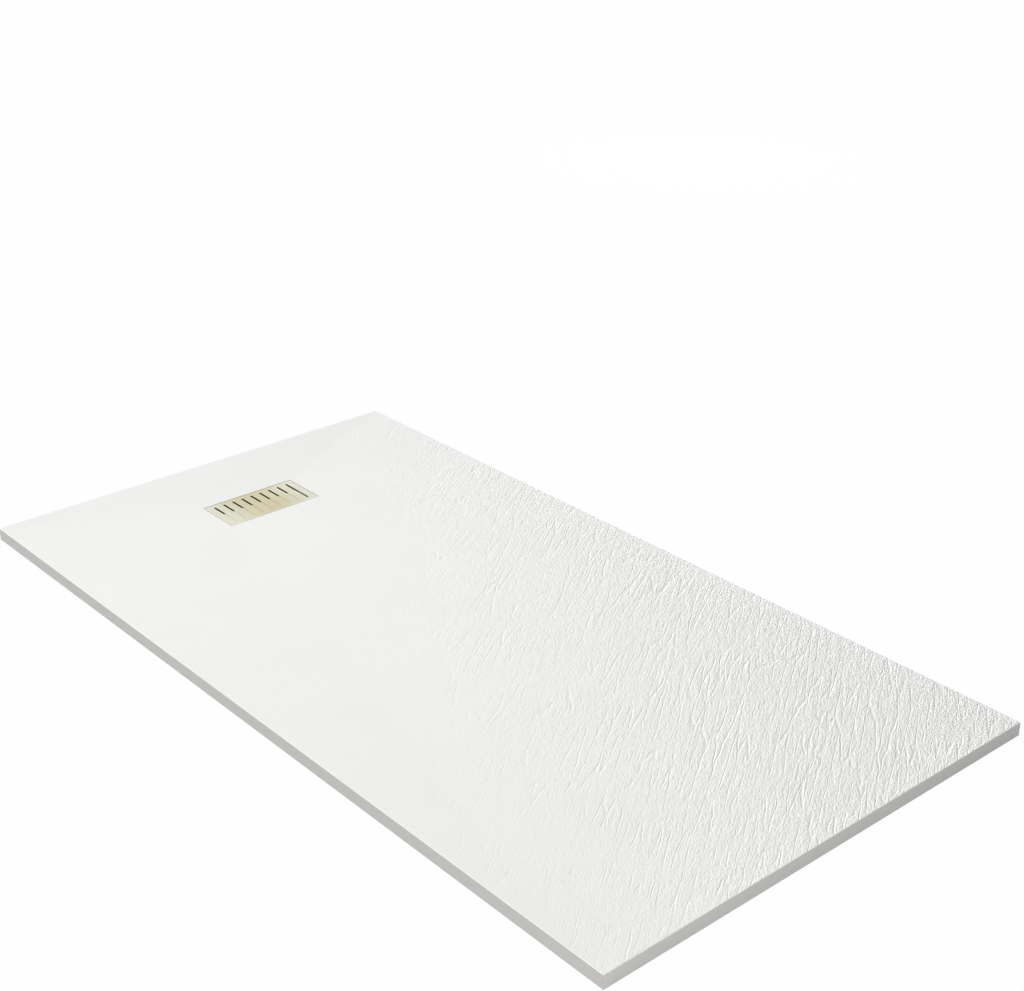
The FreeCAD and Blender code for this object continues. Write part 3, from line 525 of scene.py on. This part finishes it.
# The dark grey brown mixed in below the face is painted shade.
plate_tone = add_node(tree, "ShaderNodeMix", {"data_type": "RGBA"},
                      {"Factor": painted_shade_below_face.outputs["Result"], "A": face_tone.outputs["Result"],
                       "B": paint("6f6a52")})
tree.links.new(plate_tone.outputs["Result"], shader.inputs["Base Color"])
brush_dull = add_node(tree, "ShaderNodeMapRange", {},
                      {"Value": brushing.outputs["Fac"], "To Min": 0.32, "To Max": 0.5})
tree.links.new(brush_dull.outputs["Result"], shader.inputs["Roughness"])
brush_bump = add_node(tree, "ShaderNodeBump", {},
                      {"Height": brushing.outputs["Fac"], "Strength": 0.12, "Distance": 0.0002})
tree.links.new(brush_bump.outputs["Normal"], shader.inputs["Normal"])
dress(["grate_plate"], champagne_steel)


# ---------------------------------------------------------------------------------------------
# Floor, light and camera. The tray lies on a white floor with a pocket for the trap. A distant
# lamp stands low beyond the grate's end and rakes the creases. Three soft boxes light the top,
# the other end, and the back.
# ---------------------------------------------------------------------------------------------

# The floor is a hair lower than the tray's underside, so that the two never share a plane.
FLOOR_HALF, FLOOR_DROP = 40, 0.0004
POCKET_START, POCKET_END = grate_centre.x - 0.11, grate_centre.x + 0.075
POCKET_SIDE = 0.075
LENGTHWISE, SIDEWAYS = Vector((1, 0, 0)), Vector((0, 1, 0))

floor_mesh = bmesh.new()
bmesh.ops.create_grid(floor_mesh, x_segments=1, y_segments=1, size=FLOOR_HALF,
                      matrix=Matrix.Translation((0, 0, -FLOOR_DROP)))
for direction, cut in ((LENGTHWISE, POCKET_START), (LENGTHWISE, POCKET_END),
                       (SIDEWAYS, -POCKET_SIDE), (SIDEWAYS, POCKET_SIDE)):
    everything = [*floor_mesh.verts, *floor_mesh.edges, *floor_mesh.faces]
    bmesh.ops.bisect_plane(floor_mesh, geom=everything, plane_co=direction * cut,
                           plane_no=direction)
hole = [face for face in floor_mesh.faces
        if POCKET_START < face.calc_center_median().x < POCKET_END
        and abs(face.calc_center_median().y) < POCKET_SIDE]
bmesh.ops.delete(floor_mesh, geom=hole, context="FACES")
floor_data = bpy.data.meshes.new("floor")
floor_mesh.to_mesh(floor_data)
floor_mesh.free()
floor = bpy.data.objects.new("floor", floor_data)
bpy.context.collection.objects.link(floor)

# The camera sees the floor almost white, with the object's shadow left in it.
FLOOR_GLOW = 0.985
floor_paint, tree, shader, place = new_finish(
    "floor_paint_white", Base_Color=paint("d8d8d8"), Specular_IOR_Level=0, Roughness=0.9)
glow = add_node(tree, "ShaderNodeEmission", {}, {"Strength": 1.0})
light_path = add_node(tree, "ShaderNodeLightPath")
seen = add_node(tree, "ShaderNodeMath", {"operation": "MULTIPLY"},
                {0: light_path.outputs["Is Camera Ray"], 1: FLOOR_GLOW})
floor_mix = add_node(tree, "ShaderNodeMixShader", {},
                     {0: seen.outputs["Value"], 1: shader.outputs["BSDF"],
                      2: glow.outputs["Emission"]})
tree.links.new(floor_mix.outputs["Shader"], tree.nodes["Material Output"].inputs["Surface"])
floor_data.materials.append(floor_paint)

# The room fills the shadows faintly. The camera, metal and glass see it white.
FILL = 0.25
world = bpy.data.worlds.new("studio")
bpy.context.scene.world = world
world.use_nodes = True
tree = world.node_tree
light_path = add_node(tree, "ShaderNodeLightPath")
shown = light_path.outputs["Is Camera Ray"]
for ray in ("Is Glossy Ray", "Is Transmission Ray"):
    either = add_node(tree, "ShaderNodeMath", {"operation": "MAXIMUM"},
                      {0: shown, 1: light_path.outputs[ray]})
    shown = either.outputs["Value"]
level = add_node(tree, "ShaderNodeMapRange", {}, {"Value": shown, "To Min": FILL, "To Max": 1.0})
tree.links.new(level.outputs["Result"], tree.nodes["Background"].inputs["Strength"])
tree.nodes["Background"].inputs["Color"].default_value = (1, 1, 1, 1)

# Each lamp's place, the point it is aimed at, its size, which is an angle for the sun, and power.
for kind, name, spot, aim, size, power in (
        ("SUN", "key_light", (-7.0, -2.1, 1.96), (0, 0, 0), math.radians(5), 3.8),
        ("AREA", "top_box", (-0.7, -0.5, 2.2), (-0.5, -0.3, 0), 1.6, 18.5),
        ("AREA", "front_box", (3.4, -1.2, 0.7), (0.7, -0.3, 0), 1.0, 46),
        ("AREA", "back_box", (-2.2, 2.9, 0.9), (0, 0.2, 0), 1.0, 17)):
    lamp_data = bpy.data.lights.new(name, kind)
    if kind == "SUN":
        lamp_data.angle = size
    else:
        lamp_data.size = size
    lamp_data.energy = power
    lamp = bpy.data.objects.new(name, lamp_data)
    lamp.location = spot
    lamp.rotation_euler = (Vector(aim) - Vector(spot)).to_track_quat("-Z", "Y").to_euler()
    lamp.visible_glossy = False
    bpy.context.collection.objects.link(lamp)

# The camera stands at eye height off the tray's near corner. Its place, aim and lens come from
# five of the tray's corners in the photograph.
camera_data = bpy.data.cameras.new("camera")
camera_data.sensor_width = 36
camera_data.lens = 61.90
camera_data.shift_x = -0.01977
camera = bpy.data.objects.new("camera", camera_data)
camera.location = (2.11738, -1.67689, 1.52796)
camera.rotation_euler = (math.radians(64.7759), 0, math.radians(48.8766))
bpy.context.collection.objects.link(camera)
bpy.context.scene.camera = camera
bpy.context.scene.view_settings.view_transform = "Standard"
